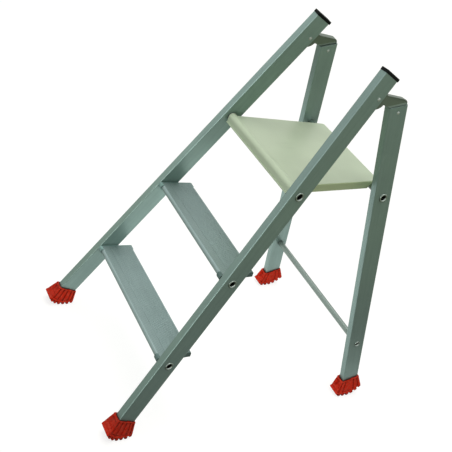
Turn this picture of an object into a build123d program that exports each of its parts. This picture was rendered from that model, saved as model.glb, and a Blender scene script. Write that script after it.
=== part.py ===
from build123d import *
from math import cos, radians, sin, tan
import os

# Step ladder with two treads and a folding platform, in millimetres.
# X runs across the ladder, Y from the treads towards the rear legs, Z up.
# Side view: Y is 0 where the front faces of the stiles would meet the floor, and
# distances up a stile or leg are measured in that view. The finished pieces are then
# moved along Y, so that the origin is the bottom centre of the whole ladder.

os.makedirs("parts", exist_ok=True)

# ---- Stiles: the splayed tubes of the front frame ----
stileTilt = radians(65.3)
stileSplay = radians(5.44)
stileDepth = 47.0
stileWidth = 20.7
stileWall = 1.5
stileCorner = 2.0
stileHalfSpan = 251.0
stileBottom = 31.0
stileTop = 1064.8

# ---- Rear legs ----
legTilt = radians(74.6)
legSplay = radians(5.81)
legDepth = 49.6
legWidth = 19.6
legWall = 1.5
legCorner = 2.0
legBottom = 22.0
legTopDrop = 29.6      # from level with the hinge's axis, down the leg to its top

# ---- Fits ----
seatGap = 0.1          # between pieces that are pushed together and stay put
runGap = 0.05          # radial, between a shaft and what turns on it
swingGap = 0.3         # between pieces that pass or rest on each other

# ---- Tubes across the ladder, and the rings spread over their ends ----
firstTreadHeight = 243.5
treadPitch = 250.0
tubeSetback = 23.5
tieTubeRadius = 7.4
tieTubeBore = 6.4
tieRingRadius = 10.8
pivotTubeRadius = 8.0
pivotTubeBore = 7.0
pivotRingRadius = 11.4
restTubeRadius = 8.2
restTubeBore = 6.6
restRingRadius = 11.3
restTubeDrop = 5.8     # from the pivot tube's axis down to the rear cross tube's
braceTubeRadius = 8.2
braceTubeBore = 6.4
braceHeight = 192.0
legTubeSetback = 26.3
ringHeight = 1.8
ringRound = 1.4
ringFunnel = 1.6

# ---- Lower brace end rivets ----
braceRivetBore = 5.0
braceRivetRing = 8.3
braceRivetLength = 38.0

# ---- Treads ----
treadRise = 9.3        # from a tie tube's centre up to the tread's top
treadRear = 65.8       # from a tie tube's centre back to the tread's rear face
treadThickness = 11.3
treadWall = 1.5
treadCorner = 1.2
noseRadius = 7.0
noseSetback = 15.5
bossWall = 1.7
webSpacing = 22.0
gripDepth = 0.6
gripPitch = 3.4
gripWidth = 1.6
gripStart = 3.0

# ---- Tread end caps ----
capFlange = 3.4
capOverhang = 2.8
capWrap = 12.0
capDrop = 1.4
capCorner = 2.7

# ---- Stile caps ----
lidHeight = 7.5
lidFront = 0.6
lidRear = 2.6
lidSideLip = 0.4
lidRound = 1.8
plugLength = 11.0

# ---- Hinge between the stiles and the rear legs ----
hingeSlope = 1012.5
hingeSetback = 34.8
hingeToLeg = 34.9      # from the hinge's axis back to the leg's front face
hingeInset = 0.55      # the legs' middle planes lie this far inside the stiles' at the hinge
rivetShank = 3.0
rivetHead = 4.6
rivetCrown = 2.0
cheekThickness = 2.0
bracketWidth = 13.4
bracketShift = 0.7
lobeRadius = 25.0
lobeExit = radians(46)     # where the bracket's lower edge leaves the lobe
shoulderRise = 12.9    # height of the bracket's upper edge above the hinge axis
shoulderFall = 0.38    # drop of that edge per millimetre towards the rear
bracketCorner = 12.0
bracketTail = 75.0
webStart = 27.0
webDrop = 27.0
webLedge = 0.6         # how far the folded-over sheet stands out beside each cheek
bushRadius = 6.0
washerRadius = 8.0
outerWasher = 1.2
innerWasher = 1.2
slotHalfLength = 24.2
slotWidth = 17.1

# ---- Rivet between bracket and leg ----
legRivetDrop = 45.1
legRivetSetback = 25.4
legRivetShank = 2.5
legRivetHead = 4.0
legRivetCrown = 1.7

# ---- Platform ----
platformOverhang = 17.8    # how far the platform reaches behind the rear cross tube's axis
platformSideGap = 2.9      # beside the folded platform's free end
platformTaper = 0.0705
platformDepth = 21.0
platformSheet = 1.8
platformCorner = 7.0
platformEdge = 2.0
rollRadius = 11.0
rollWall = 1.5
rollEndGap = 2.35
apronDrop = 14.4
apronLip = 2.0
apronLipHeight = 1.8
bushLength = 28.0
bushFlange = 0.8

# ---- Saddles under the platform, which rest on the rear cross tube ----
saddleWidth = 24.0
saddleCentre = 84.0
saddleFront = 18.0
mouthAngle = radians(38)
notchGap = 1.2

# ---- Feet ----
footFrontWall = 5.0     # in front of the rail, at the rim
footRearWall = 2.4      # behind it
footHalfRim = 13.5      # half widths, across the ladder
frontHalfToe = 20.4
frontHalfSole = 19.2
rearHalfToe = 17.6
rearHalfSole = 17.0
footToeHeight = 34.0
soleMargin = 20.0      # how far below the floor the foot's sides are drawn before the sole is cut
footCorner = 3.0
toeRun = 5.6           # how far the toe stands out in front of the foot's sloping face
toeRise = 2.4
cleatDepth = 3.2
cleatGap = 2.6
cleatPitch = 12.0
soleRest = 14.0        # length of the flat stretch that stands on the floor
frontRim = 67.0        # up the rail to the rim's front and rear edges
frontRimRear = 70.0
frontToeY = -0.8       # the feet's outlines are measured from where each rail meets the floor
frontToeZ = 29.5
frontRestStart = 40.0
frontHeelY = 70.5
frontHeelZ = 10.0
rearRim = 54.0
rearRimRear = 56.0
rearToeY = -28.0
rearToeZ = 13.0
rearRestStart = -8.0
rearHeelY = 55.0
rearHeelZ = 33.5

reach = 3000.0         # longer than anything here, for cutting slabs


# ---------------------------------------------------------------- geometry of the frames

def railPlane(halfSpan, footY, tilt, splay, lean):
    # Local x is the rail's depth towards the rear, y is inwards and z runs up the rail.
    up = Vector(-sin(splay), lean * cos(splay) * cos(tilt), cos(splay) * sin(tilt))
    rear = Vector(0, sin(tilt), -lean * cos(tilt))
    return Plane(origin=(halfSpan, footY, 0), x_dir=rear, z_dir=up)


def stilePoint(slope, setback):
    y = slope * cos(stileTilt) + setback * sin(stileTilt)
    return y, slope * sin(stileTilt) - setback * cos(stileTilt)


def legPoint(slope, setback):
    y = legFootY - slope * cos(legTilt) + setback * sin(legTilt)
    return y, slope * sin(legTilt) + setback * cos(legTilt)


def alongStile(slope):
    return slope / cos(stileSplay)


def alongLeg(slope):
    return slope / cos(legSplay)


def stileInnerHalf(slope):
    return stileHalfSpan - stileWidth / cos(stileSplay) - slope * tan(stileSplay)


# The rear legs hang from the hinge, and their feet reach the floor.
treadCount = 2
pivotSlope = firstTreadHeight + treadCount * treadPitch
hingePoint = stilePoint(hingeSlope, hingeSetback)
hingeOnLeg = (hingePoint[1] + hingeToLeg * cos(legTilt)) / sin(legTilt)
legFootY = hingePoint[0] + hingeToLeg * sin(legTilt) + hingeOnLeg * cos(legTilt)
hingeHalf = stileInnerHalf(hingeSlope) + stileWidth / 2 / cos(stileSplay) - hingeInset
legHalfSpan = hingeHalf + legWidth / 2 / cos(legSplay) + hingeOnLeg * tan(legSplay)
legTop = hingeOnLeg - legTopDrop
farSide = stileHalfSpan + legHalfSpan

stilePlane = railPlane(stileHalfSpan, 0, stileTilt, stileSplay, 1)
legPlane = railPlane(legHalfSpan, legFootY, legTilt, legSplay, -1)
treadPoints = [stilePoint(firstTreadHeight + i * treadPitch, tubeSetback) for i in range(treadCount)]
platformPoint = stilePoint(pivotSlope, tubeSetback)
restTubeHeight = (platformPoint[1] - restTubeDrop - legTubeSetback * cos(legTilt)) / sin(legTilt)
restPoint = legPoint(restTubeHeight, legTubeSetback)
bracePoint = legPoint(braceHeight, legTubeSetback)
restLocal = (restPoint[0] - platformPoint[0], restPoint[1] - platformPoint[1])
platformLength = restLocal[0] + platformOverhang
platformRearHalf = stileInnerHalf(pivotSlope + platformLength) - platformSideGap
rollHalfLength = stileInnerHalf(pivotSlope) - rollEndGap


# ---------------------------------------------------------------- shared shapes

def slab(plane, near, far):
    # Everything between two planes parallel to a rail's outer face.
    return plane * Pos(0, (near + far) / 2, 0) * Box(reach, far - near, reach)


def bothSides(shape):
    return shape + mirror(shape, about=Plane.YZ)


def crossRod(point, radius, halfLength):
    return Pos(0, *point) * Rot(0, 90, 0) * Cylinder(radius, 2 * halfLength)


def across(sketch, low, high):
    # A side-view sketch, in Y and Z, extruded along X.
    return Pos(low, 0, 0) * extrude(Plane.YZ * sketch, amount=high - low, dir=(1, 0, 0))


def rectangularTube(plane, depth, width, wall, corner, low, high):
    section = RectangleRounded(depth, width, corner) - Rectangle(depth - 2 * wall, width - 2 * wall)
    return plane * Pos(0, 0, low) * extrude(Pos(depth / 2, width / 2) * section, amount=high - low)


def onFace(plane, setback, inward, along):
    # A place on a rail's side whose Z points out of the ladder.
    return plane.location * Pos(setback, inward, along) * Rot(90, 0, 0)


def dome(radius, crown):
    ball = (radius**2 + crown**2) / (2 * crown)
    cutter = Pos(0, 0, -reach / 2) * Box(reach, reach, reach)
    return Pos(0, 0, crown - ball) * Sphere(ball) - cutter


def endRing(radius):
    disc = Cylinder(radius, ringHeight, align=(Align.CENTER, Align.CENTER, Align.MIN))
    return fillet(disc.edges().group_by(Axis.Z)[-1], ringRound)


def endFunnel(bore):
    return Pos(0, 0, ringHeight / 2) * Cone(bore, bore + ringFunnel, ringHeight)


def ringedTube(point, plane, setback, along, radius, bore, ringRadius):
    # A tube across the ladder whose ends are spread into rings over the rails' faces.
    place = onFace(plane, setback, 0, along)
    rod = crossRod(point, radius, farSide) - bothSides(slab(plane, -reach, -ringHeight / 4))
    rings = bothSides(place * endRing(ringRadius))
    funnels = bothSides(place * endFunnel(bore))
    return rod + rings - crossRod(point, bore, farSide) - funnels


# ---------------------------------------------------------------- front frame

def makeStile():
    stile = rectangularTube(stilePlane, stileDepth, stileWidth, stileWall, stileCorner,
                            alongStile(stileBottom), alongStile(stileTop))
    for point in treadPoints:
        stile -= crossRod(point, tieTubeRadius + seatGap, farSide)
    stile -= crossRod(platformPoint, pivotTubeRadius + seatGap, farSide)
    stile -= hingeRod(rivetShank + seatGap)
    slot = Box(4 * stileWall, slotWidth, 2 * slotHalfLength)
    stile -= stilePlane * Pos(stileDepth, stileWidth / 2, alongStile(hingeSlope)) * slot
    return stile


def makeStileCap():
    low = alongStile(stileTop)
    depth = stileDepth + lidFront + lidRear
    lid = Box(depth, stileWidth + 2 * lidSideLip, lidHeight, align=(Align.CENTER, Align.CENTER, Align.MIN))
    lid = fillet(lid.edges() - lid.edges().group_by(Axis.Z)[0], lidRound)
    lid = Pos((stileDepth + lidRear - lidFront) / 2, stileWidth / 2, low) * lid
    inside = 2 * (stileWall + seatGap)
    plug = Box(stileDepth - inside, stileWidth - inside, plugLength,
               align=(Align.CENTER, Align.CENTER, Align.MAX))
    hollow = Box(stileDepth - inside - 4 * stileWall, stileWidth - inside - 4 * stileWall, plugLength,
                 align=(Align.CENTER, Align.CENTER, Align.MAX))
    return stilePlane * (lid + Pos(stileDepth / 2, stileWidth / 2, low) * (plug - hollow))


def treadOutline(grow, drop):
    # The tread's section in the side view, with its tie tube's centre at 0, 0.
    top = treadRise
    nose = Pos(-noseSetback, top - noseRadius) * Circle(noseRadius + grow)
    length = treadRear + noseSetback + grow
    body = Rectangle(length, treadThickness + drop, align=(Align.MIN, Align.MAX))
    boss = Circle(tieTubeRadius + bossWall + drop)
    return nose + Pos(-noseSetback, top) * body + boss


def treadSection():
    outline = treadOutline(0, 0)
    rearEdge = outline.vertices().filter_by(lambda v: v.X > treadRear - treadWall)
    outline = fillet(rearEdge, treadCorner)
    nose = Pos(-noseSetback, treadRise - noseRadius) * Circle(noseRadius - treadWall)
    length = treadRear - treadWall + noseSetback
    body = Rectangle(length, treadThickness - 2 * treadWall, align=(Align.MIN, Align.MAX))
    hollow = nose + Pos(-noseSetback, treadRise - treadWall) * body
    hollow -= Circle(tieTubeRadius + bossWall)
    for i in range(1, int(treadRear / webSpacing) + 1):
        hollow -= Pos(i * webSpacing, 0) * Rectangle(treadWall, 4 * treadRise)
    section = outline - hollow - Circle(tieTubeRadius + seatGap)
    groove = Rectangle(gripWidth, 2 * gripDepth)
    for i in range(int((treadRear - 2 * gripStart) / gripPitch) + 1):
        section -= Pos(gripStart + i * gripPitch, treadRise) * groove
    return section


def makeTread(point):
    bar = across(Pos(*point) * treadSection(), -farSide, farSide)
    return bar - bothSides(slab(stilePlane, -reach, stileWidth + capFlange + 2 * seatGap))


def makeTreadCap(point):
    outline = treadOutline(capOverhang, capDrop)
    rearEdge = outline.vertices().filter_by(lambda v: v.X > treadRear and v.Y > treadRise - treadWall)
    outline = fillet(rearEdge, capCorner)
    # The cap is level with the tread's top, and its sides wrap round the nose, back and underside.
    above = Pos(0, treadRise) * Rectangle(4 * treadRear, 4 * treadRise, align=(Align.CENTER, Align.MIN))
    flange = outline - above - Circle(tieTubeRadius + seatGap)
    wrap = outline - above - offset(treadOutline(0, 0), seatGap)
    inner = stileWidth + seatGap
    end = across(Pos(*point) * flange, 0, farSide) & slab(stilePlane, inner, inner + capFlange)
    skirt = across(Pos(*point) * wrap, 0, farSide)
    return end + (skirt & slab(stilePlane, inner + capFlange, inner + capFlange + capWrap))


def tieTube(index):
    slope = firstTreadHeight + index * treadPitch
    return ringedTube(treadPoints[index], stilePlane, tubeSetback, alongStile(slope),
                      tieTubeRadius, tieTubeBore, tieRingRadius)


def platformPivotTube():
    return ringedTube(platformPoint, stilePlane, tubeSetback, alongStile(pivotSlope),
                      pivotTubeRadius, pivotTubeBore, pivotRingRadius)


# ---------------------------------------------------------------- hinge

bracketPlane = Plane(legPlane.location * Pos(-hingeToLeg, legWidth / 2 - bracketShift, alongLeg(hingeOnLeg)))
bracketRear = hingeToLeg + legDepth - legWall - swingGap
bracketFront = hingeToLeg + legWall + swingGap


def shoulder(x):
    return shoulderRise - shoulderFall * x


def bracketOutline():
    # Local x runs rearwards from the hinge's axis, y up along the leg.
    corner = (bracketRear, shoulder(bracketRear))
    exitPoint = (lobeRadius * cos(lobeExit), -lobeRadius * sin(lobeExit))
    plate = Polygon((0, shoulderRise), corner, (bracketRear, -bracketTail), (bracketFront, -bracketTail),
                    (bracketFront, -legTopDrop), exitPoint, (0, 0), align=None)
    return fillet(plate.vertices().sort_by_distance(Vector(*corner, 0))[0], bracketCorner)


def webZone():
    # The upper edge and the back of the bracket, where the sheet is folded over between the cheeks.
    foot = shoulder(bracketRear) - webDrop
    back = bracketRear + cheekThickness
    return Polygon((webStart, shoulderRise), (back, shoulderRise), (back, foot),
                   (bracketRear - bracketCorner, foot), (webStart, shoulder(webStart) - 2 * cheekThickness),
                   align=None)


def bracketBody(sketch, low, high):
    return bracketPlane * Pos(0, low, 0) * extrude(Plane.XZ * sketch, amount=high - low, dir=(0, 1, 0))


def makeBracket():
    plate = bracketOutline()
    half = bracketWidth / 2
    inner = half - cheekThickness
    cheek = plate + Circle(lobeRadius)
    rim = plate - offset(plate, -cheekThickness)
    bracket = bracketBody(cheek, -half, -inner) + bracketBody(cheek, inner, half)
    bracket += bracketBody(rim & webZone(), -half - webLedge, half + webLedge)
    bracket -= hingeRod(rivetShank + runGap)
    return bracket - legRivetRod(legRivetShank + seatGap)


def hingeRod(radius):
    return crossRod(hingePoint, radius, farSide)


def makeHingeBush():
    half = bracketWidth / 2 - cheekThickness
    return (hingeRod(bushRadius) - hingeRod(rivetShank + runGap)) & slab(bracketPlane, -half, half)


def makeHingeWashers():
    ring = hingeRod(washerRadius) - hingeRod(rivetShank + seatGap)
    inside = stileWidth - stileWall
    return [ring & slab(stilePlane, stileWall, stileWall + outerWasher),
            ring & slab(stilePlane, inside - innerWasher, inside)]


def makeHingeRivet():
    shank = hingeRod(rivetShank) & slab(stilePlane, -rivetCrown / 2, stileWidth + rivetCrown / 2)
    head = dome(rivetHead, rivetCrown)
    along = alongStile(hingeSlope)
    outerHead = onFace(stilePlane, hingeSetback, 0, along) * head
    innerHead = onFace(stilePlane, hingeSetback, stileWidth, along) * Rot(180, 0, 0) * head
    return shank + outerHead + innerHead


# ---------------------------------------------------------------- rear frame

def legRivetRod(radius):
    place = onFace(legPlane, legRivetSetback, legWidth / 2, alongLeg(hingeOnLeg - legRivetDrop))
    return place * Cylinder(radius, 2 * legWidth)


def makeLegRivet():
    shank = legRivetRod(legRivetShank) & slab(legPlane, -legRivetCrown / 2, legWidth + legRivetCrown / 2)
    head = dome(legRivetHead, legRivetCrown)
    along = alongLeg(hingeOnLeg - legRivetDrop)
    outerHead = onFace(legPlane, legRivetSetback, 0, along) * head
    innerHead = onFace(legPlane, legRivetSetback, legWidth, along) * Rot(180, 0, 0) * head
    return shank + outerHead + innerHead


def makeLegSpacers():
    # Rings that fill the leg beside the bracket, round the rivet.
    ring = legRivetRod(washerRadius) - legRivetRod(legRivetShank + seatGap)
    middle = legWidth / 2 - bracketShift
    half = bracketWidth / 2 + seatGap
    return [ring & slab(legPlane, legWall, middle - half),
            ring & slab(legPlane, middle + half, legWidth - legWall)]


def makeRearLeg():
    leg = rectangularTube(legPlane, legDepth, legWidth, legWall, legCorner,
                          alongLeg(legBottom), alongLeg(legTop))
    leg -= crossRod(restPoint, restTubeRadius + seatGap, farSide)
    leg -= braceRod(braceTubeBore)
    return leg - legRivetRod(legRivetShank + seatGap)


def restTube():
    return ringedTube(restPoint, legPlane, legTubeSetback, alongLeg(restTubeHeight),
                      restTubeRadius, restTubeBore, restRingRadius)


def braceRod(radius):
    return crossRod(bracePoint, radius, farSide)


def braceTube():
    ends = bothSides(slab(legPlane, -reach, legWidth + seatGap))
    return braceRod(braceTubeRadius) - braceRod(braceTubeBore) - ends


def makeBraceRivet():
    place = onFace(legPlane, legTubeSetback, 0, alongLeg(braceHeight))
    shank = braceRod(braceTubeBore - seatGap) & slab(legPlane, -ringHeight / 4, braceRivetLength)
    rivet = shank + place * endRing(braceRivetRing)
    return rivet - braceRod(braceRivetBore) - place * endFunnel(braceRivetBore)


# ---------------------------------------------------------------- platform

def mouthSketch(gap):
    # The space round the rear cross tube, open downwards and towards the front.
    radius = restTubeRadius + gap
    y, z = restLocal
    low = z - platformDepth
    front = y - radius - tan(mouthAngle) * platformDepth
    mouth = Polygon((y + radius, z), (y + radius, low), (front, low), (y - radius, z), align=None)
    return Pos(y, z) * Circle(radius) + mouth


def deckPlan(inset, front):
    def half(y):
        return platformRearHalf + platformTaper * (platformLength - y) - inset
    rear = platformLength - inset
    corners = [(-half(front), front), (half(front), front), (half(rear), rear), (-half(rear), rear)]
    plan = Polygon(*corners, align=None)
    return fillet(plan.vertices().group_by(Axis.Y)[-1], platformCorner - inset)


def makeDeck():
    place = Pos(0, *platformPoint)
    outside = extrude(deckPlan(0, 0), amount=platformDepth, dir=(0, 0, 1))
    outer = Pos(0, 0, treadRise - platformDepth) * outside
    outer = fillet(outer.edges().group_by(Axis.Z)[-1], platformEdge)
    inside = extrude(deckPlan(platformSheet, -rollRadius), amount=platformDepth, dir=(0, 0, 1))
    hollow = Pos(0, 0, treadRise - platformSheet - platformDepth) * inside
    deck = place * (outer - hollow)
    deck += crossRod(platformPoint, rollRadius, rollHalfLength)
    apron = Pos(-rollRadius, 0) * Rectangle(rollWall, apronDrop, align=(Align.MIN, Align.MAX))
    lip = Pos(-rollRadius - apronLip, -apronDrop + apronLipHeight) * Rectangle(
        rollWall + apronLip, apronLipHeight, align=(Align.MIN, Align.MAX))
    deck += across(Pos(*platformPoint) * (apron + lip), -rollHalfLength, rollHalfLength)
    deck -= crossRod(platformPoint, rollRadius - rollWall, rollHalfLength)
    mouth = Pos(*platformPoint) * mouthSketch(notchGap)
    return deck - across(mouth, -farSide, farSide)


def makeSaddle():
    y, z = restLocal
    rear = platformLength - platformSheet - seatGap
    front = y - restTubeRadius - saddleFront
    top = treadRise - platformSheet
    height = platformDepth - platformSheet
    block = Pos(rear, top) * Rectangle(rear - front, height, align=(Align.MAX, Align.MAX))
    block -= mouthSketch(swingGap)
    profile = Pos(*platformPoint) * block
    return across(profile, saddleCentre - saddleWidth / 2, saddleCentre + saddleWidth / 2)


def makePlatformBush():
    end = rollHalfLength + bushFlange
    sleeve = crossRod(platformPoint, rollRadius - rollWall - seatGap, end)
    flange = crossRod(platformPoint, rollRadius, end)
    inner = Box(2 * (rollHalfLength - bushLength), reach, reach)
    flange -= Box(2 * rollHalfLength, reach, reach)
    left = Pos(-reach / 2, 0, 0) * Box(reach, reach, reach)
    return sleeve - inner + flange - left - crossRod(platformPoint, pivotTubeRadius + runGap, end)


# ---------------------------------------------------------------- feet

def footBody(side, plane, width, halfToe, halfSole, top, toeY, rearY):
    # The side view, the view along the rail's depth and the plan are crossed with each other.
    middle = width / 2
    corners = []
    for half, height in ((halfSole, -soleMargin), (halfToe, footToeHeight), (footHalfRim, top)):
        corners = [(middle - half, height)] + corners + [(middle + half, height)]
    wedge = plane * extrude(Plane.YZ * Polygon(*corners, align=None), amount=reach / 2, both=True)
    lean = -plane.z_dir.X / plane.z_dir.Z * footToeHeight
    floorX = plane.origin.X - middle - lean / 2
    plan = Pos(floorX, (toeY + rearY) / 2) * RectangleRounded(2 * halfToe + lean, rearY - toeY, footCorner)
    column = extrude(plan, amount=2 * top)
    return across(side, 0, farSide) & wedge & column


def withCleats(outline, start, end):
    skin = outline - offset(outline, -cleatDepth)
    count = round((end - start) / cleatPitch)
    gaps = Sketch()
    for i in range(1, count):
        gaps += Pos(start + i * (end - start) / count, 0) * Rectangle(cleatGap, 2 * footToeHeight)
    return outline - (skin & gaps)


def socket(plane, depth, width, low):
    # The space that a rail takes up in its foot.
    rail = Rectangle(depth + 2 * seatGap, width + 2 * seatGap)
    return plane * Pos(depth / 2, width / 2, low) * extrude(rail, amount=reach)


def footSide(toe, restStart, heel, rimFront, rimRear):
    # A flat stretch on the floor, an arc up to the toe and one up to the heel, then round the rim.
    start = (restStart, 0)
    end = (restStart + soleRest, 0)
    sole = [TangentArc(start, toe, tangent=(-1, 0)), Line(start, end), TangentArc(end, heel, tangent=(1, 0))]
    neck = (toe[0] + toeRun, toe[1] + toeRise)
    upper = Polyline(heel, rimRear, rimFront, neck, toe)
    outline = make_face(sole + upper.edges())
    return withCleats(outline, toe[0], heel[0])


def makeFrontFoot():
    rimFront = stilePoint(frontRim, -footFrontWall)
    rimRear = stilePoint(frontRimRear, stileDepth + footRearWall)
    side = footSide((frontToeY, frontToeZ), frontRestStart, (frontHeelY, frontHeelZ), rimFront, rimRear)
    foot = footBody(side, stilePlane, stileWidth, frontHalfToe, frontHalfSole,
                    alongStile(frontRimRear), frontToeY, rimRear[0])
    return foot - socket(stilePlane, stileDepth, stileWidth, alongStile(stileBottom))


def makeRearFoot():
    toe = (legFootY + rearToeY, rearToeZ)
    heel = (legFootY + rearHeelY, rearHeelZ)
    rimFront = legPoint(rearRim, -footFrontWall)
    rimRear = legPoint(rearRimRear, legDepth + footRearWall)
    side = footSide(toe, legFootY + rearRestStart, heel, rimFront, rimRear)
    foot = footBody(side, legPlane, legWidth, rearHalfToe, rearHalfSole,
                    alongLeg(rearRimRear), toe[0], heel[0])
    return foot - socket(legPlane, legDepth, legWidth, alongLeg(legBottom))


# ---------------------------------------------------------------- the ladder

rightPieces = {
    "stile": makeStile(),
    "stile_cap": makeStileCap(),
    "front_foot": makeFrontFoot(),
    "lower_tread_cap": makeTreadCap(treadPoints[0]),
    "upper_tread_cap": makeTreadCap(treadPoints[1]),
    "hinge_rivet": makeHingeRivet(),
    "hinge_washers": Compound(children=makeHingeWashers()),
    "hinge_bracket": makeBracket(),
    "hinge_bush": makeHingeBush(),
    "rear_leg": makeRearLeg(),
    "leg_rivet": makeLegRivet(),
    "leg_spacers": Compound(children=makeLegSpacers()),
    "brace_rivet": makeBraceRivet(),
    "rear_foot": makeRearFoot(),
    "platform_bush": makePlatformBush(),
    "platform_saddle": makeSaddle(),
}

pieces = {
    "lower_tread": makeTread(treadPoints[0]),
    "upper_tread": makeTread(treadPoints[1]),
    "lower_tie_tube": tieTube(0),
    "upper_tie_tube": tieTube(1),
    "platform_pivot_tube": platformPivotTube(),
    "platform_deck": makeDeck(),
    "platform_rest_tube": restTube(),
    "lower_brace_tube": braceTube(),
}
for name, shape in rightPieces.items():
    pieces[name + "_right"] = shape
    pieces[name + "_left"] = mirror(shape, about=Plane.YZ)

# The ladder's length runs from the toes of the front feet to the heels of the rear feet.
originY = (frontToeY + legFootY + rearHeelY) / 2

for name, shape in pieces.items():
    export_step(Pos(0, -originY, 0) * shape, "parts/" + name + ".step")
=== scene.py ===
import bpy
import bmesh
from math import acos, cos, pi, radians, sin, tan
from mathutils import Matrix, Vector


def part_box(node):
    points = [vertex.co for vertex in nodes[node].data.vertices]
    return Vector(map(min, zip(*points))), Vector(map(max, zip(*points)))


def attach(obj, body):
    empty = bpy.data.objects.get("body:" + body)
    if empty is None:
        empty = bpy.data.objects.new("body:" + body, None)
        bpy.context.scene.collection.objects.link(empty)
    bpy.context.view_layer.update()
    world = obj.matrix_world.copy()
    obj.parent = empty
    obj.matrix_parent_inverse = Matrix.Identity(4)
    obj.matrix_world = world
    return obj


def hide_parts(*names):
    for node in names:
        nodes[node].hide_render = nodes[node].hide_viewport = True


# Step ladder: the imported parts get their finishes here, and the rubber feet are made in full detail.

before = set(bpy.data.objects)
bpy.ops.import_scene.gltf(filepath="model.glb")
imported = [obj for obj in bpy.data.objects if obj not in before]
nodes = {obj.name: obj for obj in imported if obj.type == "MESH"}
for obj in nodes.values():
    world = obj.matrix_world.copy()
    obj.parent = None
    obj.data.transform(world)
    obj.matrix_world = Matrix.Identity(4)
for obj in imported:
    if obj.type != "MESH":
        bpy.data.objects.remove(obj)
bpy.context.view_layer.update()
sides = {"right": 1, "left": -1}
print("frame loaded:", len(nodes), "nodes")

# Where the rails run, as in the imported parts, in degrees and metres. Lean is 1 for a rail that leans to the rear
# on its way up, and -1 for one that leans to the front.
rails = {
    "stile": {"tilt": 65.3, "splay": 5.44, "halfSpan": 0.251, "footY": -0.39724, "lean": 1,
              "depth": 0.047, "width": 0.0207, "piece": "stile_"},
    "leg": {"tilt": 74.6, "splay": 5.81, "halfSpan": 0.250, "footY": 0.34304, "lean": -1,
            "depth": 0.0496, "width": 0.0196, "piece": "rear_leg_"},
}


def railAxes(rail, side=1):
    # To the rear through the rail's depth, across its width, and up along it.
    tilt, splay = radians(rail["tilt"]), radians(rail["splay"])
    up = Vector((-side * sin(splay), rail["lean"] * cos(splay) * cos(tilt), cos(splay) * sin(tilt)))
    rear = Vector((0, sin(tilt), -rail["lean"] * cos(tilt)))
    return rear, up.cross(rear), up


def bothSides(*kinds):
    return [kind + "_" + label for kind in kinds for label in sides]


# The next few functions are short forms for building node trees.
def socketOf(sockets, name):
    if isinstance(name, int):
        return sockets[name]
    return next(socket for socket in sockets if socket.name == name and socket.enabled)


def wire(tree, value, target):
    # Links a socket or a node's first output, or sets a plain value.
    if isinstance(value, bpy.types.Node):
        value = next(socket for socket in value.outputs if socket.enabled)
    if isinstance(value, bpy.types.NodeSocket):
        tree.links.new(value, target)
    else:
        target.default_value = value


def addNode(tree, kind, sockets=None, **settings):
    node = tree.nodes.new(kind)
    for key, value in settings.items():
        setattr(node, key, value)
    for key, value in (sockets or {}).items():
        wire(tree, value, socketOf(node.inputs, key))
    return node


def calc(tree, operation, *values, clamp=False):
    return addNode(tree, "ShaderNodeMath", dict(enumerate(values)), operation=operation, use_clamp=clamp)


def multiply(tree, first, *others):
    for other in others:
        first = calc(tree, "MULTIPLY", first, other)
    return first


def mixColor(tree, factor, first, second, mode="MIX"):
    node = addNode(tree, "ShaderNodeMix", {0: factor, 6: first, 7: second}, data_type="RGBA", blend_type=mode)
    return node.outputs[2]


def scaleColor(tree, color, factor):
    return mixColor(tree, 1.0, color, factor, "MULTIPLY")


def darken(tree, color, share):
    return scaleColor(tree, color, calc(tree, "SUBTRACT", 1.0, share))


def remap(tree, value, low, high, toLow=0.0, toHigh=1.0):
    return addNode(tree, "ShaderNodeMapRange", {"Value": value, "From Min": low, "From Max": high,
                                                "To Min": toLow, "To Max": toHigh}).outputs[0]


def noise(tree, vector, scale, detail=2.0, roughness=0.5):
    return addNode(tree, "ShaderNodeTexNoise", {"Vector": vector, "Scale": scale, "Detail": detail,
                                                "Roughness": roughness}).outputs[0]


def stretch(tree, vector, scale, turn=(0, 0, 0)):
    # Draws a pattern out along the axes where the scale is small.
    return addNode(tree, "ShaderNodeMapping", {"Vector": vector, "Rotation": turn, "Scale": scale})


def parts(tree, vector):
    return addNode(tree, "ShaderNodeSeparateXYZ", {"Vector": vector}).outputs


def facing(tree, axis):
    # How far the surface looks along an axis, from -1 to 1.
    return parts(tree, addNode(tree, "ShaderNodeNewGeometry").outputs["Normal"])[axis]


def newGroup(name, inputs, outputs, kind="ShaderNodeTree"):
    group = bpy.data.node_groups.new(name, kind)
    for label, socketType, value in inputs:
        socket = group.interface.new_socket(label, in_out="INPUT", socket_type="NodeSocket" + socketType)
        if value is not None:
            socket.default_value = value
    for label, socketType in outputs:
        group.interface.new_socket(label, in_out="OUTPUT", socket_type="NodeSocket" + socketType)
    return group, addNode(group, "NodeGroupInput").outputs, addNode(group, "NodeGroupOutput").inputs


def useGroup(tree, group, sockets=None):
    return addNode(tree, "ShaderNodeGroup", sockets, node_tree=group).outputs


# The effects that several finishes share come first, each with the values of its pattern above it.
grainShape = {"lineScale": 1400.0, "lineStretch": (1.0, 1.0, 0.012), "bandScale": 130.0,
              "bandStretch": (1.0, 1.0, 0.05), "scratchScale": 90.0, "scratchStretch": (1.0, 1.0, 0.03),
              "scratchTurn": (0.5, 0.35, 0.2), "scratchWidth": 0.03, "scratchTone": 0.25, "scratchDepth": 1.5,
              "rareScale": 14.0, "rareSpan": (0.56, 0.66), "gloss": 0.5}


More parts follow.
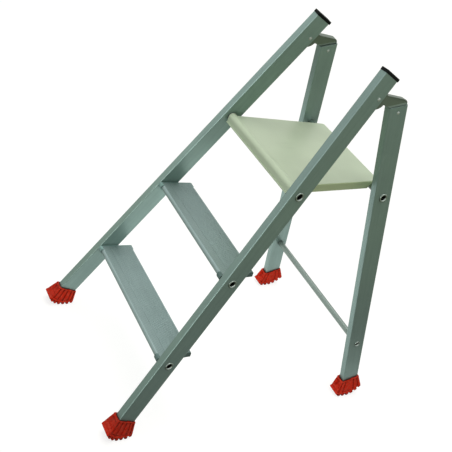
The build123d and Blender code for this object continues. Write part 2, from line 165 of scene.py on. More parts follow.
def makeDrawnGrain():
    group, given, out = newGroup("drawnGrain", [
        ("Vector", "Vector", None), ("Color", "Color", (0.3, 0.3, 0.3, 1)), ("Streaks", "Float", 0.1),
        ("Patches", "Float", 0.1), ("Patch Size", "Float", 0.08), ("Scratches", "Float", 0.3)],
        [("Color", "Color"), ("Height", "Float"), ("Tone", "Float")])
    shape, space = grainShape, given["Vector"]
    lines = noise(group, stretch(group, space, shape["lineStretch"]), shape["lineScale"], 3.0, 0.65)
    bands = noise(group, stretch(group, space, shape["bandStretch"]), shape["bandScale"])
    cloud = noise(group, space, calc(group, "DIVIDE", 1.0, given["Patch Size"]), 3.0, 0.55)
    scratchSpace = stretch(group, space, shape["scratchStretch"], shape["scratchTurn"])
    cells = addNode(group, "ShaderNodeTexVoronoi", {"Vector": scratchSpace, "Scale": shape["scratchScale"]},
                    feature="DISTANCE_TO_EDGE").outputs[0]
    rare = remap(group, noise(group, space, shape["rareScale"], 1.0), *shape["rareSpan"])
    scratch = multiply(group, remap(group, cells, 0.0, shape["scratchWidth"], 1.0, 0.0), given["Scratches"], rare)
    streak = multiply(group, calc(group, "SUBTRACT", calc(group, "ADD", lines, bands), 1.0), given["Streaks"])
    patch = multiply(group, calc(group, "SUBTRACT", cloud, 0.5), given["Patches"])
    tone = calc(group, "ADD", calc(group, "ADD", streak, patch), multiply(group, scratch, shape["scratchTone"]))
    wire(group, scaleColor(group, given["Color"], calc(group, "ADD", tone, 1.0)), out["Color"])
    wire(group, calc(group, "SUBTRACT", lines, multiply(group, scratch, shape["scratchDepth"])), out["Height"])
    wire(group, tone, out["Tone"])
    return group


edgeMaskShape = {"patchScale": 85.0, "patchSpan": (0.35, 0.65), "least": 0.35}


def makeEdgeWearAndSheen():
    # A rounded normal for the edges, and a mask of the edges that holds rubbed wear on most finishes and a painted
    # highlight on the rings and the deck.
    group, given, out = newGroup("edgeWearAndSheen", [("Radius", "Float", 0.0012), ("Spread", "Float", 1.0)],
                                 [("Normal", "Vector"), ("Mask", "Float")])
    bevel = addNode(group, "ShaderNodeBevel", {"Radius": given["Radius"]}, samples=6)
    plain = addNode(group, "ShaderNodeNewGeometry").outputs["Normal"]
    match = addNode(group, "ShaderNodeVectorMath", {0: bevel, 1: plain}, operation="DOT_PRODUCT").outputs["Value"]
    place = addNode(group, "ShaderNodeTexCoord").outputs["Object"]
    patchy = remap(group, noise(group, place, edgeMaskShape["patchScale"], 3.0), *edgeMaskShape["patchSpan"],
                   edgeMaskShape["least"], 1.0)
    edge = calc(group, "MULTIPLY", calc(group, "SUBTRACT", 1.0, match), given["Spread"], clamp=True)
    wire(group, bevel, out["Normal"])
    wire(group, calc(group, "MULTIPLY", edge, patchy, clamp=True), out["Mask"])
    return group


skinShape = {"cloudScale": 60.0, "cloudSpan": (0.25, 0.75), "cloudTones": (0.86, 1.14), "dustScale": 140.0,
             "dustSpan": (0.42, 0.62), "toneSpan": (0.2, 0.9), "smoother": 0.08, "rougher": 0.1}


def makeMouldedSkin():
    # Moulded rubber and plastic: slow unevenness, fine grain and settled dust.
    group, given, out = newGroup("mouldedSkin", [
        ("Vector", "Vector", None), ("Color", "Color", (0.1, 0.1, 0.1, 1)),
        ("Dust Color", "Color", (0.5, 0.5, 0.45, 1)), ("Dust", "Float", 0.1), ("Grain Size", "Float", 0.0006)],
        [("Color", "Color"), ("Height", "Float"), ("Tone", "Float")])
    shape, space = skinShape, given["Vector"]
    cloud = noise(group, space, shape["cloudScale"], 3.0)
    toned = scaleColor(group, given["Color"], remap(group, cloud, *shape["cloudSpan"], *shape["cloudTones"]))
    settled = remap(group, noise(group, space, shape["dustScale"], 4.0), *shape["dustSpan"])
    dusty = multiply(group, settled, given["Dust"])
    wire(group, mixColor(group, dusty, toned, given["Dust Color"]), out["Color"])
    wire(group, noise(group, space, calc(group, "DIVIDE", 1.0, given["Grain Size"])), out["Height"])
    wire(group, calc(group, "ADD", cloud, dusty), out["Tone"])
    return group


def makeHollowShade():
    # Darkens what lies deep in bores, gaps and corners.
    group, given, out = newGroup("hollowShade", [
        ("Color", "Color", (0.5, 0.5, 0.5, 1)), ("Reach", "Float", 0.004), ("Deep", "Float", 0.5),
        ("Dark At", "Float", 0.0), ("Clear At", "Float", 1.0)], [("Color", "Color")])
    sky = addNode(group, "ShaderNodeAmbientOcclusion", {"Distance": given["Reach"]}, samples=8).outputs["AO"]
    clear = remap(group, sky, given["Dark At"], given["Clear At"])
    shade = calc(group, "MULTIPLY", calc(group, "SUBTRACT", 1.0, clear), given["Deep"], clamp=True)
    wire(group, darken(group, given["Color"], shade), out["Color"])
    return group


def makeFlankMask():
    # One where the surface looks to a side, nought where it looks to the front, rear, top or floor.
    group, given, out = newGroup("flankMask", [("From", "Float", 0.5), ("To", "Float", 0.8)], [("Mask", "Float")])
    wire(group, remap(group, calc(group, "ABSOLUTE", facing(group, "X")), given["From"], given["To"]), out["Mask"])
    return group


foldShape = {"bandSoft": 0.0008, "paintedShadowGap": 0.002}


def makeFoldShade():
    # Painted shadow in the fold at the rear top, and a painted highlight band along the lower edge of a pressed cheek.
    group, given, out = newGroup("foldShade", [
        ("Vector", "Vector", None), ("Color", "Color", (0.3, 0.3, 0.3, 1)), ("Painted Highlight Color", "Color", (0.4, 0.4, 0.4, 1)),
        ("Lower Edge", "Float", 0.0), ("Band", "Float", 0.004), ("Upper Edge", "Float", 0.03),
        ("Front", "Float", 0.0), ("Rear", "Float", 0.05), ("Painted Shadow", "Float", 0.6), ("Painted Highlight", "Float", 0.6)],
        [("Color", "Color")])
    part = parts(group, given["Vector"])
    bandTop = calc(group, "ADD", given["Lower Edge"], given["Band"])
    band = remap(group, part["Z"], calc(group, "SUBTRACT", bandTop, foldShape["bandSoft"]), bandTop, 1.0, 0.0)
    rise = remap(group, part["Z"], calc(group, "ADD", bandTop, foldShape["paintedShadowGap"]), given["Upper Edge"])
    back = remap(group, part["X"], given["Front"], given["Rear"])
    dark = darken(group, given["Color"], multiply(group, rise, back, given["Painted Shadow"]))
    wire(group, mixColor(group, multiply(group, band, given["Painted Highlight"]), dark, given["Painted Highlight Color"]), out["Color"])
    return group


ribShadeShape = {"lineSpan": (0.26, 0.36), "level": 0.7}


def makeRibShadeLines():
    # Painted shade: fine dark lines along a tread's nose, which carry on the spacing of its ribs.
    group, given, out = newGroup("gripLines", [
        ("Vector", "Vector", None), ("Color", "Color", (0.3, 0.3, 0.3, 1)), ("Start", "Float", 0.0),
        ("End", "Float", 0.02), ("Pitch", "Float", 0.0034), ("Dark", "Float", 0.3)], [("Color", "Color")])
    back = parts(group, given["Vector"])["Y"]
    along = calc(group, "SUBTRACT", back, given["Start"])
    wave = calc(group, "PINGPONG", along, calc(group, "DIVIDE", given["Pitch"], 2.0))
    line = remap(group, calc(group, "DIVIDE", wave, given["Pitch"]), *ribShadeShape["lineSpan"])
    inside = multiply(group, calc(group, "GREATER_THAN", along, 0.0), calc(group, "LESS_THAN", back, given["End"]))
    level = calc(group, "GREATER_THAN", facing(group, "Z"), ribShadeShape["level"])
    wire(group, darken(group, given["Color"], multiply(group, line, inside, level, given["Dark"])), out["Color"])
    return group


drawnGrain, edgeWearAndSheen, mouldedSkin = makeDrawnGrain(), makeEdgeWearAndSheen(), makeMouldedSkin()
hollowShade, flankMask = makeHollowShade(), makeFlankMask()
foldShade, gripLines = makeFoldShade(), makeRibShadeLines()
print("shared effects made")

reliefDistance = 0.0002  # how far the grain stands up, at a relief of one


def newMaterial(name):
    material = bpy.data.materials.new(name)
    material.use_nodes = True
    tree = material.node_tree
    return material, tree, tree.nodes["Principled BSDF"]


def localSpace(tree, axes=None):
    # Object coordinates, along the given axes if there are any.
    place = addNode(tree, "ShaderNodeTexCoord").outputs["Object"]
    if axes is None:
        return place
    turn = Matrix([[axis[row] for axis in axes] for row in range(3)]).to_euler()
    turned = addNode(tree, "ShaderNodeMapping", {"Vector": place, "Rotation": tuple(turn)}, vector_type="TEXTURE")
    return turned.outputs[0]


def addRelief(tree, shader, strength, height, normal):
    bump = addNode(tree, "ShaderNodeBump", {"Strength": strength, "Distance": reliefDistance, "Height": height,
                                            "Normal": normal})
    wire(tree, bump, shader.inputs["Normal"])


def metalFinish(name, look, axes):
    # Drawn, pressed or turned metal: the grain runs along the third of the axes.
    material, tree, shader = newMaterial(name)
    space = localSpace(tree, axes)
    grain = useGroup(tree, drawnGrain, {
        "Vector": space, "Color": (*look["color"], 1), "Streaks": look["streaks"], "Patches": look["patches"],
        "Scratches": look["scratches"]})
    edge = useGroup(tree, edgeWearAndSheen, {"Radius": look["edge"], "Spread": look["wearAndSheen"]})
    color = mixColor(tree, edge["Mask"], grain["Color"], (*look["bright"], 1))
    color = useGroup(tree, hollowShade, {
        "Color": color, "Reach": look["reach"], "Deep": look["deep"], "Dark At": look.get("darkAt", 0.0),
        "Clear At": look.get("clearAt", 1.0)})["Color"]
    # Painted shadow in a fold and a painted highlight band, where the look asks for them.
    if "fold" in look:
        color = useGroup(tree, foldShade, {
            "Vector": space, "Color": color, "Painted Highlight Color": (*look["rubbedAndHighlight"], 1), **look["fold"]})["Color"]
    # Painted shade lines along a tread's nose.
    if "grip" in look:
        color = useGroup(tree, gripLines, {"Vector": localSpace(tree), "Color": color, **look["grip"]})["Color"]
    # Painted shade on the faces that look down.
    if "paintedUnderShade" in look:
        height = parts(tree, addNode(tree, "ShaderNodeTexCoord").outputs["Normal"])["Z"]
        color = mixColor(tree, remap(tree, height, *look["paintedUnderShadeSpan"]), color, (*look["paintedUnderShade"], 1))
    wire(tree, color, shader.inputs["Base Color"])
    smoother = multiply(tree, grain["Tone"], -grainShape["gloss"])  # bright streaks are smoother
    wire(tree, calc(tree, "ADD", smoother, look["roughness"], clamp=True), shader.inputs["Roughness"])
    addRelief(tree, shader, look["relief"], grain["Height"], edge["Normal"])
    shader.inputs["Metallic"].default_value = look["metallic"]
    shader.inputs["Specular IOR Level"].default_value = look["specular"]
    return material


def plasticFinish(name, look):
    # Moulded rubber or plastic, dusty and rubbed at its edges.
    material, tree, shader = newMaterial(name)
    skin = useGroup(tree, mouldedSkin, {
        "Vector": localSpace(tree), "Color": (*look["color"], 1), "Dust Color": (*look["dustColor"], 1),
        "Dust": look["dust"], "Grain Size": look["grain"]})
    edge = useGroup(tree, edgeWearAndSheen, {"Radius": look["edge"], "Spread": look["wearAndSheen"]})
    color = mixColor(tree, edge["Mask"], skin["Color"], (*look["rubbedAndHighlight"], 1))
    # Painted light: the flanks are made lighter by the given factor.
    if "flank" in look:
        flank = useGroup(tree, flankMask)["Mask"]
        color = scaleColor(tree, color, remap(tree, flank, 0.0, 1.0, 1.0, look["flank"]))
    color = useGroup(tree, hollowShade, {"Color": color, "Reach": look["reach"], "Deep": look["deep"]})["Color"]
    wire(tree, color, shader.inputs["Base Color"])
    roughness = remap(tree, skin["Tone"], *skinShape["toneSpan"], look["roughness"] - skinShape["smoother"],
                      look["roughness"] + skinShape["rougher"])
    wire(tree, roughness, shader.inputs["Roughness"])
    addRelief(tree, shader, look["relief"], skin["Height"], edge["Normal"])
    shader.inputs["Specular IOR Level"].default_value = look["specular"]
    return material


def toned(look, tone, **more):
    return {**look, "color": tuple(tone * part for part in look["color"]), **more}


def dress(names, material):
    for name in names:
        for slot in nodes[name].material_slots:
            slot.material = material


across = (Vector((0, 1, 0)), Vector((0, 0, 1)), Vector((1, 0, 0)))  # grain that runs from side to side

# Aluminium of the stiles and legs, one finish per rail so that the grain follows it. Its tones are painted light: the
# left rails are lighter copies of the same aluminium.
railLook = {"color": (0.218, 0.305, 0.280), "bright": (0.42, 0.50, 0.46), "streaks": 0.20, "patches": 0.22,
            "scratches": 0.4, "edge": 0.0007, "wearAndSheen": 0.06, "roughness": 0.35, "relief": 0.10, "metallic": 0.58,
            "reach": 0.012, "deep": 0.7, "specular": 0.3}
railPaintedLight = {("stile", "right"): 1.0, ("stile", "left"): 1.17, ("leg", "right"): 0.96, ("leg", "left"): 1.12}
for (rail, label), tone in railPaintedLight.items():
    finish = metalFinish(rail + "Aluminium" + label.capitalize(), toned(railLook, tone),
                         railAxes(rails[rail], sides[label]))
    dress([rails[rail]["piece"] + label], finish)

# Ribbed treads, with painted shade lines on the nose. The lines are measured from the nose.
treadLook = {"color": (0.282, 0.370, 0.362), "bright": (0.34, 0.43, 0.41), "streaks": 0.16, "patches": 0.24,
             "scratches": 0.5, "edge": 0.0006, "wearAndSheen": 0.25, "roughness": 0.44, "relief": 0.12, "metallic": 0.5,
             "reach": 0.0016, "deep": 0.12, "specular": 0.3, "gripStart": 0.0048, "gripEnd": 0.0245,
             "gripPitch": 0.0034, "gripDark": 0.42}
for level in ("lower", "upper"):
    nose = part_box(level + "_tread")[0].y
    grip = {"Start": nose + treadLook["gripStart"], "End": nose + treadLook["gripEnd"],
            "Pitch": treadLook["gripPitch"], "Dark": treadLook["gripDark"]}
    dress([level + "_tread"], metalFinish(level + "TreadAluminium", {**treadLook, "grip": grip}, across))

tubeLook = {"color": (0.22, 0.27, 0.245), "bright": (0.60, 0.64, 0.60), "streaks": 0.12, "patches": 0.12,
            "scratches": 0.25, "edge": 0.0012, "wearAndSheen": 1.0, "roughness": 0.34, "relief": 0.08, "metallic": 0.6,
            "reach": 0.02, "deep": 1.0, "specular": 0.4}
dress(["lower_brace_tube"], metalFinish("tubeAluminium", tubeLook, across))

# The spread tube ends have a painted highlight at their edges and painted shade below, and painted shade darkens the
# bores behind them.
ringLook = {"color": (0.36, 0.42, 0.38), "bright": (0.94, 0.97, 0.94), "streaks": 0.06, "patches": 0.10,
            "scratches": 0.2, "edge": 0.0006, "wearAndSheen": 0.5, "roughness": 0.26, "relief": 0.05, "metallic": 0.9,
            "reach": 0.022, "deep": 1.0, "darkAt": 0.16, "clearAt": 0.42, "specular": 0.4,
            "paintedUnderShade": (0.06, 0.075, 0.06), "paintedUnderShadeSpan": (0.45, -0.40)}
dress(["lower_tie_tube", "upper_tie_tube", "platform_pivot_tube", "platform_rest_tube"] + bothSides("brace_rivet"),
      metalFinish("ringAluminium", ringLook, across))

# Pressed brackets, with a painted highlight band above the leg's top and painted shadow that deepens towards the rear
# fold.
steelLook = {"color": (0.150, 0.195, 0.150), "bright": (0.42, 0.48, 0.42), "rubbedAndHighlight": (0.28, 0.36, 0.32),
             "streaks": 0.10, "patches": 0.35, "scratches": 0.5, "edge": 0.0009, "wearAndSheen": 1.6, "roughness": 0.40,
             "relief": 0.08, "metallic": 0.5, "reach": 0.005, "deep": 1.1, "specular": 0.3, "band": 0.0060,
             "paintedShadowStart": 0.050, "paintedShadowEnd": 0.004, "paintedShadow": 0.95, "paintedHighlight": 0.95}
for label, side in sides.items():
    rear, inward, up = railAxes(rails["leg"], side)
    corners = [vertex.co for vertex in nodes["hinge_bracket_" + label].data.vertices]
    back = max(corner.dot(rear) for corner in corners)
    fold = {"Lower Edge": max(vertex.co.dot(up) for vertex in nodes[rails["leg"]["piece"] + label].data.vertices),
            "Band": steelLook["band"], "Upper Edge": max(corner.dot(up) for corner in corners),
            "Front": back - steelLook["paintedShadowStart"], "Rear": back - steelLook["paintedShadowEnd"],
            "Painted Shadow": steelLook["paintedShadow"], "Painted Highlight": steelLook["paintedHighlight"]}
    dress(["hinge_bracket_" + label],
          metalFinish("bracketSteel" + label.capitalize(), {**steelLook, "fold": fold}, (rear, inward, up)))

rivetLook = {"color": (0.38, 0.43, 0.39), "bright": (0.66, 0.70, 0.66), "streaks": 0.05, "patches": 0.3,
             "scratches": 0.5, "edge": 0.0006, "wearAndSheen": 1.0, "roughness": 0.30, "relief": 0.08, "metallic": 0.8,
             "reach": 0.003, "deep": 0.8, "specular": 0.5}
dress(bothSides("hinge_rivet", "leg_rivet"), metalFinish("rivetSteel", rivetLook, across))

blackLook = {"color": (0.006, 0.0075, 0.007), "dustColor": (0.08, 0.085, 0.08), "dust": 0.06, "deep": 0.5,
             "reach": 0.004, "grain": 0.0005, "edge": 0.0008, "wearAndSheen": 0.4, "rubbedAndHighlight": (0.03, 0.032, 0.032),
             "roughness": 0.45, "relief": 0.10, "specular": 0.06}
dress(bothSides("stile_cap", "platform_saddle"), plasticFinish("capBlack", blackLook))

greyLook = {"color": (0.115, 0.185, 0.175), "dustColor": (0.26, 0.30, 0.28), "dust": 0.12, "deep": 0.6,
            "reach": 0.004, "grain": 0.0005, "edge": 0.0006, "wearAndSheen": 0.5, "rubbedAndHighlight": (0.19, 0.27, 0.25),
            "roughness": 0.5, "relief": 0.10, "specular": 0.3}
# Painted light: the left tread caps are a lighter copy of the same grey plastic.
greyPaintedLight = {"right": 1.0, "left": 1.9}
for label, tone in greyPaintedLight.items():
    dress(["lower_tread_cap_" + label, "upper_tread_cap_" + label],
          plasticFinish("capGrey" + label.capitalize(), toned(greyLook, tone)))

nylonLook = {"color": (0.60, 0.60, 0.52), "dustColor": (0.35, 0.34, 0.30), "dust": 0.12, "deep": 0.5,
             "reach": 0.003, "grain": 0.0006, "edge": 0.0005, "wearAndSheen": 0.4, "rubbedAndHighlight": (0.7, 0.7, 0.64),
             "roughness": 0.42, "relief": 0.05, "specular": 0.5}
dress(bothSides("hinge_washers", "leg_spacers", "hinge_bush", "platform_bush"),
      plasticFinish("nylonCream", nylonLook))

# Red rubber, one finish per foot, with painted light: how light each foot is, and how much lighter its flanks are.
rubberLook = {"color": (0.74, 0.030, 0.010), "dustColor": (0.50, 0.20, 0.14), "dust": 0.12, "deep": 1.25,
              "reach": 0.008, "grain": 0.0009, "edge": 0.0010, "wearAndSheen": 0.6, "rubbedAndHighlight": (0.84, 0.085, 0.034),
              "roughness": 0.60, "relief": 0.16, "specular": 0.10}
rubberPaintedLight = {("front", "right"): (0.66, 1.45), ("front", "left"): (0.70, 1.8),
               ("rear", "right"): (0.82, 1.56), ("rear", "left"): (0.84, 1.52)}
footRubber = {(kind, label): plasticFinish(kind + "Rubber" + label.capitalize(), toned(rubberLook, tone, flank=flank))
              for (kind, label), (tone, flank) in rubberPaintedLight.items()}

deckLook = {"color": (0.56, 0.655, 0.485), "flankColor": (0.76, 0.91, 0.54), "cloudScale": 9.0,
            "cloudSpan": (0.3, 0.7), "uneven": 0.05, "poreScale": 1600.0, "scuffs": 0.25, "scuffScale": 70.0,
            "scuffTurn": (0, 0, 0.7), "scuffStretch": (1, 0.06, 1), "scuffSpan": (0.60, 0.72),
            "scuffColor": (0.36, 0.42, 0.33), "rareScale": 16.0, "rareSpan": (0.5, 0.65), "scuffRoughness": 0.2,
            "specks": 0.5, "speckScale": 46.0, "speckSpan": (0.03, 0.06), "speckPatches": (0.48, 0.56),
            "speckColor": (0.30, 0.35, 0.27), "edge": 0.0014, "wearAndSheen": 1.4, "edgeHighlightColor": (0.66, 0.76, 0.58),
            "roughness": 0.40, "relief": 0.12}


def deckFinish(look):
    # Smooth enamel over pressed sheet, with fine pores, specks and a few scuffs. Painted light makes the flanks lighter
    # and greener, and a painted highlight runs along the edges.
    material, tree, shader = newMaterial("deckEnamel")
    space = localSpace(tree)
    cloud = noise(tree, space, look["cloudScale"])
    pores = noise(tree, space, look["poreScale"])
    scuffSpace = stretch(tree, space, look["scuffStretch"], look["scuffTurn"])
    scuff = multiply(tree, remap(tree, noise(tree, scuffSpace, look["scuffScale"], 4.0, 0.6), *look["scuffSpan"]),
                     remap(tree, noise(tree, space, look["rareScale"], 1.0), *look["rareSpan"]))
    spots = addNode(tree, "ShaderNodeTexVoronoi", {"Vector": space, "Scale": look["speckScale"]}).outputs[0]
    speck = multiply(tree, remap(tree, spots, *look["speckSpan"], 1.0, 0.0),
                     remap(tree, cloud, *look["speckPatches"]))
    # Painted light: the flanks are lighter and greener.
    color = mixColor(tree, useGroup(tree, flankMask)["Mask"], (*look["color"], 1), (*look["flankColor"], 1))
    color = scaleColor(tree, color, remap(tree, cloud, *look["cloudSpan"], 1 - look["uneven"], 1 + look["uneven"]))
    color = mixColor(tree, multiply(tree, scuff, look["scuffs"]), color, (*look["scuffColor"], 1))
    color = mixColor(tree, multiply(tree, speck, look["specks"]), color, (*look["speckColor"], 1))
    # Painted highlight along the edges.
    edge = useGroup(tree, edgeWearAndSheen, {"Radius": look["edge"], "Spread": look["wearAndSheen"]})
    wire(tree, mixColor(tree, edge["Mask"], color, (*look["edgeHighlightColor"], 1)), shader.inputs["Base Color"])
    wire(tree, calc(tree, "ADD", multiply(tree, scuff, look["scuffRoughness"]), look["roughness"]),
         shader.inputs["Roughness"])
    addRelief(tree, shader, look["relief"], pores, edge["Normal"])
    return material


dress(["platform_deck"], deckFinish(deckLook))
print("finishes made")

# Rubber feet. Sizes are in metres, measured from where each rail meets the floor. Grooves and panels are placed
# through the foot's depth, which runs from -1 at the front to 1 at the rear.
feet = {
    "front": {"rail": "stile", "rim": (0.067, 0.070), "toe": (-0.0008, 0.0295), "heel": (0.0705, 0.010),
              "rest": (0.040, 0.054), "halfRim": 0.0134, "halfWide": 0.0203, "pocket": 0.0034,
              "pocketHalf": 0.62, "hollow": 0.0010, "grooves": (-0.76, -0.34, 0.08, 0.48, 0.82),
              "panel": (-0.72, 0.80)},
    "rear": {"rail": "leg", "rim": (0.054, 0.056), "toe": (-0.028, 0.013), "heel": (0.055, 0.0335),
             "rest": (-0.008, 0.006), "halfRim": 0.0134, "halfWide": 0.0175, "pocket": 0.0082,
             "pocketHalf": 0.60, "hollow": 0.0018, "grooves": (-0.84, -0.46, 0.38, 0.76), "panel": (-0.42, 0.34)},
}

# What all four feet share. Levels run from 0 at the rim to 1 at the sole, and spans are where a form fades.
footLook = {
    "frontWall": 0.005, "rearWall": 0.0024, "leastWall": 0.0003, "seat": 0.0002, "mouthDepth": 0.030,
    "mouthBevel": 0.25, "toeRun": 0.0056, "toeRise": 0.0014, "toeDrop": 0.0022, "sink": 0.0040,
    "sinkFront": 0.14, "sinkRear": 0.93, "flareSpan": (-0.25, 0.95), "lip": 0.05, "lipSoft": 0.03,
    "flange": 0.84, "flangeEnd": 0.91, "flangeSoft": 0.02, "flangeOut": 0.0008, "underCut": 0.0024,
    "underCutSpan": (-1.0, -0.7), "grooveWidth": 0.15, "grooveSpan": (0.12, 0.66), "grooveDepth": 0.0024,
    "panelSoft": 0.06, "panelEnd": 0.78, "panelSpan": (0.014, 0.028), "panelDepth": 0.6, "rearPocket": 0.0014,
    "pocketEdge": (0.82, 1.12), "pocketTop": (0.12, 0.2), "pocketFoot": (0.68, 0.78), "hollowEdge": (0.6, 0.87),
    "cornerDepth": 0.08, "cornerWidth": 0.13, "cornerSteps": 5, "frontSteps": 18, "sideSteps": 80,
    "levelSteps": 72, "soleSteps": 240, "cleatSteps": 120, "cleats": 5, "cleatShare": 0.64,
    "cleatSpan": (0.16, 0.958), "cleatHeight": 0.0100, "cleatSink": 0.5, "cleatInset": 0.0003,
    "cleatRound": 0.0030,
}


def smooth(low, high, value):
    part = min(max((value - low) / (high - low), 0.0), 1.0)
    return part * part * (3 - 2 * part)


def solePath(foot, sink, steps):
    # Arc up to the toe, the flat stretch on the floor and arc up to the heel, set in by sink except at its ends.
    def arcTo(start, end):
        reach = abs(end[0] - start)
        radius = (reach * reach + end[1] * end[1]) / (2 * end[1])
        return radius, acos(max(-1.0, (radius - end[1]) / radius))

    low, high = foot["rest"]
    frontRadius, frontTurn = arcTo(low, (foot["toe"][0], foot["toe"][1] - footLook["toeDrop"]))
    rearRadius, rearTurn = arcTo(high, foot["heel"])
    lengths = [frontRadius * frontTurn, high - low, rearRadius * rearTurn]
    points = []
    for step in range(steps + 1):
        share = step / steps
        along = sum(lengths) * share
        inset = sink * smooth(0.0, footLook["sinkFront"], share) * (1 - smooth(footLook["sinkRear"], 1.0, share))
        if along < lengths[0]:
            turn = frontTurn * (1 - along / lengths[0])
            points.append((low - (frontRadius - inset) * sin(turn), frontRadius - (frontRadius - inset) * cos(turn)))
        elif along < lengths[0] + lengths[1]:
            points.append((low + along - lengths[0], inset))
        else:
            turn = rearTurn * (along - lengths[0] - lengths[1]) / lengths[2]
            points.append((high + (rearRadius - inset) * sin(turn), rearRadius - (rearRadius - inset) * cos(turn)))
    return points


def ringPoints():
    # One turn round the foot in plan: depth and width run from -1 to 1, starting at the middle of the front.
    deep, wide = footLook["cornerDepth"], footLook["cornerWidth"]
    flat, long = footLook["frontSteps"], footLook["sideSteps"]
    turns = [pi / 2 * step / footLook["cornerSteps"] for step in range(footLook["cornerSteps"] + 1)]
    half = [(-1.0, (1 - wide) * step / flat, "front") for step in range(flat)]
    half += [(-1.0 + deep * (1 - cos(turn)), 1 - wide + wide * sin(turn), "corner") for turn in turns]
    half += [((1 - deep) * (2 * step / long - 1), 1.0, "side") for step in range(1, long)]
    half += [(1.0 - deep * (1 - cos(turn)), 1 - wide + wide * sin(turn), "corner") for turn in reversed(turns)]
    half += [(1.0, (1 - wide) * (flat - step) / flat, "rear") for step in range(1, flat)]
    otherHalf = [(depth, -width, part) for depth, width, part in reversed(half[1:])]
    return half + [(1.0, 0.0, "rear")] + otherHalf


def makeFoot(kind, foot):
    rail, look = rails[foot["rail"]], footLook
    rear, _, up = railAxes(rail)
    lean = rail["lean"]
    tilt, splay = radians(rail["tilt"]), radians(rail["splay"])

    def sidePoint(slope, setback):
        return Vector((lean * slope * cos(tilt) + setback * sin(tilt), slope * sin(tilt) - lean * setback * cos(tilt)))

    rimFront = sidePoint(foot["rim"][0], -look["frontWall"])
    rimRear = sidePoint(foot["rim"][1], rail["depth"] + look["rearWall"])
    toe = Vector(foot["toe"])
    neck = toe + Vector((look["toeRun"], look["toeRise"]))
    sole = [Vector(point) for point in solePath(foot, look["sink"], look["soleSteps"])]
    ring = ringPoints()
    leastHalf = rail["width"] / 2 + look["leastWall"]

    def middleX(spot):
        # The rail's middle plane leans in with the distance up the rail.
        slope = lean * spot.x * cos(tilt) + spot.y * sin(tilt)
        return rail["halfSpan"] - rail["width"] / 2 / cos(splay) - tan(splay) * slope

    def foremost(z):
        # The sloping face, which ends in the toe's ledge.
        low, high = (neck, rimFront) if z > neck.y else (toe, neck)
        return low.x + (high.x - low.x) * (z - low.y) / (high.y - low.y) if z > toe.y else low.x

    def sideInset(depth, level, body):
        # Grooves between the pleats, the line that ends the panel below them and the recess under the flange.
        core, shoulder = (look["grooveWidth"] * share for share in look["grooveSpan"])
        groove = max(1 - smooth(core, shoulder, abs(depth - middle)) for middle in foot["grooves"])
        low, high = foot["panel"]
        panel = smooth(low - look["panelSoft"], low, depth) * (1 - smooth(high, high + look["panelSoft"], depth))
        panel *= 1 - smooth(*look["panelSpan"], abs(level - look["panelEnd"]))
        under = smooth(look["flangeEnd"], look["flangeEnd"] + look["flangeSoft"], level)
        recess = look["underCut"] * under * smooth(*look["underCutSpan"], depth)
        return recess + max(groove * body, look["panelDepth"] * panel) * look["grooveDepth"]

    def surface(depth, width, part, level):
        # A point of the outer skin in the foot's side view, and how far it lies from the rail's middle plane.
        share = (depth + 1) / 2
        spot = rimFront.lerp(rimRear, share).lerp(sole[round(share * look["soleSteps"])], level)
        spot.x = max(spot.x, foremost(spot.y))
        half = foot["halfRim"] + (foot["halfWide"] - foot["halfRim"]) * smooth(*look["flareSpan"], level)
        body = smooth(look["lip"], look["lip"] + look["lipSoft"], level)
        body *= 1 - smooth(look["flange"] - look["flangeSoft"], look["flange"], level)
        if part in ("side", "corner"):
            inset = look["flangeOut"] * body + (sideInset(depth, level, body) if part == "side" else 0.0)
            return spot, width * max(half - inset, leastHalf)
        low, high = look["pocketEdge"]
        pocket = 1 - smooth(foot["pocketHalf"] * low, foot["pocketHalf"] * high, abs(width))
        pocket *= smooth(*look["pocketTop"], level) * (1 - smooth(*look["pocketFoot"], level))
        curve = foot["hollow"] * sin(pi * level) * (1 - smooth(*look["hollowEdge"], abs(width)))
        away = Vector((rear.y, rear.z)) * (1 if depth < 0 else -1)
        hole = foot["pocket"] if depth < 0 else look["rearPocket"]
        return spot + away * (pocket * hole + curve), width * half

    mesh = bmesh.new()

    def place(spot, sideways):
        return mesh.verts.new((middleX(spot) + sideways, rail["footY"] + spot.x, spot.y))

    rows = []
    # The mouth: down beside the rail, then up and over the rim.
    for setIn, slope in ((1.0, -look["mouthDepth"]), (1.0, 0.0), (look["mouthBevel"], 0.0)):
        row = []
        for depth, width, part in ring:
            edge = rimFront.lerp(rimRear, (depth + 1) / 2)
            snug = sidePoint(foot["rim"][0 if depth < 0 else 1], (depth + 1) / 2 * rail["depth"] + depth * look["seat"])
            spot = edge.lerp(snug, setIn) + Vector((up.y, up.z)) * slope
            half = foot["halfRim"] + setIn * (rail["width"] / 2 + look["seat"] - foot["halfRim"])
            row.append(place(spot, width * half))
        rows.append(row)
    for step in range(look["levelSteps"] + 1):
        level = step / look["levelSteps"]
        rows.append([place(*surface(depth, width, part, level)) for depth, width, part in ring])
    count = len(ring)
    for upper, lower in zip(rows, rows[1:]):
        for index in range(count):
            following = (index + 1) % count
            mesh.faces.new((upper[index], upper[following], lower[following], lower[index]))
    mesh.faces.new(rows[0])
    # The sole, closed in strips from front to rear.
    last = rows[-1]
    for index in range(count // 2):
        strip = []
        for corner in (index, -index, -index - 1, index + 1):
            vertex = last[corner % count]
            if vertex not in strip:
                strip.append(vertex)
        mesh.faces.new(strip)
    bmesh.ops.recalc_face_normals(mesh, faces=mesh.faces)
    data = bpy.data.meshes.new(kind + "FootShell")
    mesh.to_mesh(data)
    mesh.free()
    for polygon in data.polygons:
        polygon.use_smooth = True
    under = [Vector(point) for point in solePath(foot, look["cleatHeight"] * look["cleatSink"], look["cleatSteps"])]
    return data, [(middleX(spot), rail["footY"] + spot.x, spot.y) for spot in under]


